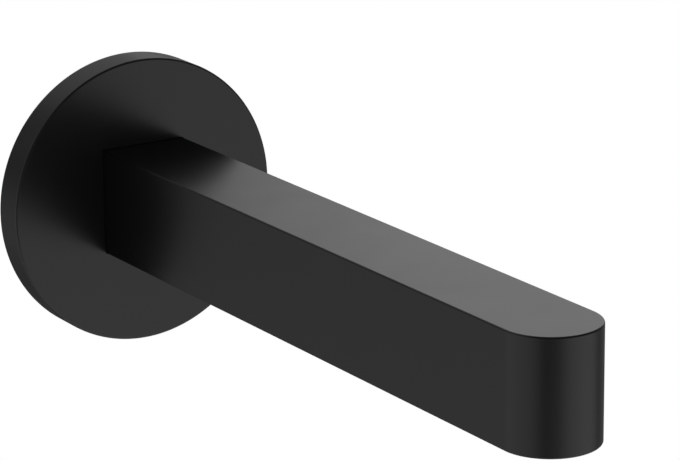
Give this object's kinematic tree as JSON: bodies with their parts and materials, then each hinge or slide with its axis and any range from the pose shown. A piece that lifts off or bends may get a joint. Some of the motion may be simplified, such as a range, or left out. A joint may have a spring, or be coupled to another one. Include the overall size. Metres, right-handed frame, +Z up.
{
  "type": "bath spout",
  "caption": "Wall-mounted bath spout: round escutcheon, long rectangular bar with a half-round nose, threaded wall connection and an aerator set in the underside.",
  "frame": {"origin": "centre of the escutcheon's wall face, on the axis of the pipe connection", "axes": "+Y into the wall along the connection's axis, +Z up, +X to the right as seen facing the wall; the spout reaches out along -Y"},
  "size_m": [0.07, 0.1985, 0.07],
  "materials": {
    "black_coating": "matt black coating with a soft satin sheen",
    "black_plastic": "moulded black plastic",
    "grid_plastic": "moulded grey plastic",
    "filter_plastic": "moulded pale plastic",
    "seal_rubber": "matt black rubber",
    "brass": "turned, plain",
    "screw_steel": "stainless, plain"
  },
  "bodies": {
    "root": {"spout_body": "black_coating", "escutcheon": "black_coating", "escutcheon_insert": "black_plastic", "escutcheon_gasket": "seal_rubber", "connection_nipple": "brass", "o_ring_rear": "seal_rubber", "o_ring_front": "seal_rubber", "retaining_screw": "screw_steel", "aerator_housing": "black_plastic", "aerator_outlet_grid": "grid_plastic", "aerator_upper_grid": "filter_plastic", "aerator_diffuser": "filter_plastic", "aerator_strainer": "filter_plastic", "aerator_seal": "seal_rubber"}
  },
  "joints": []
}
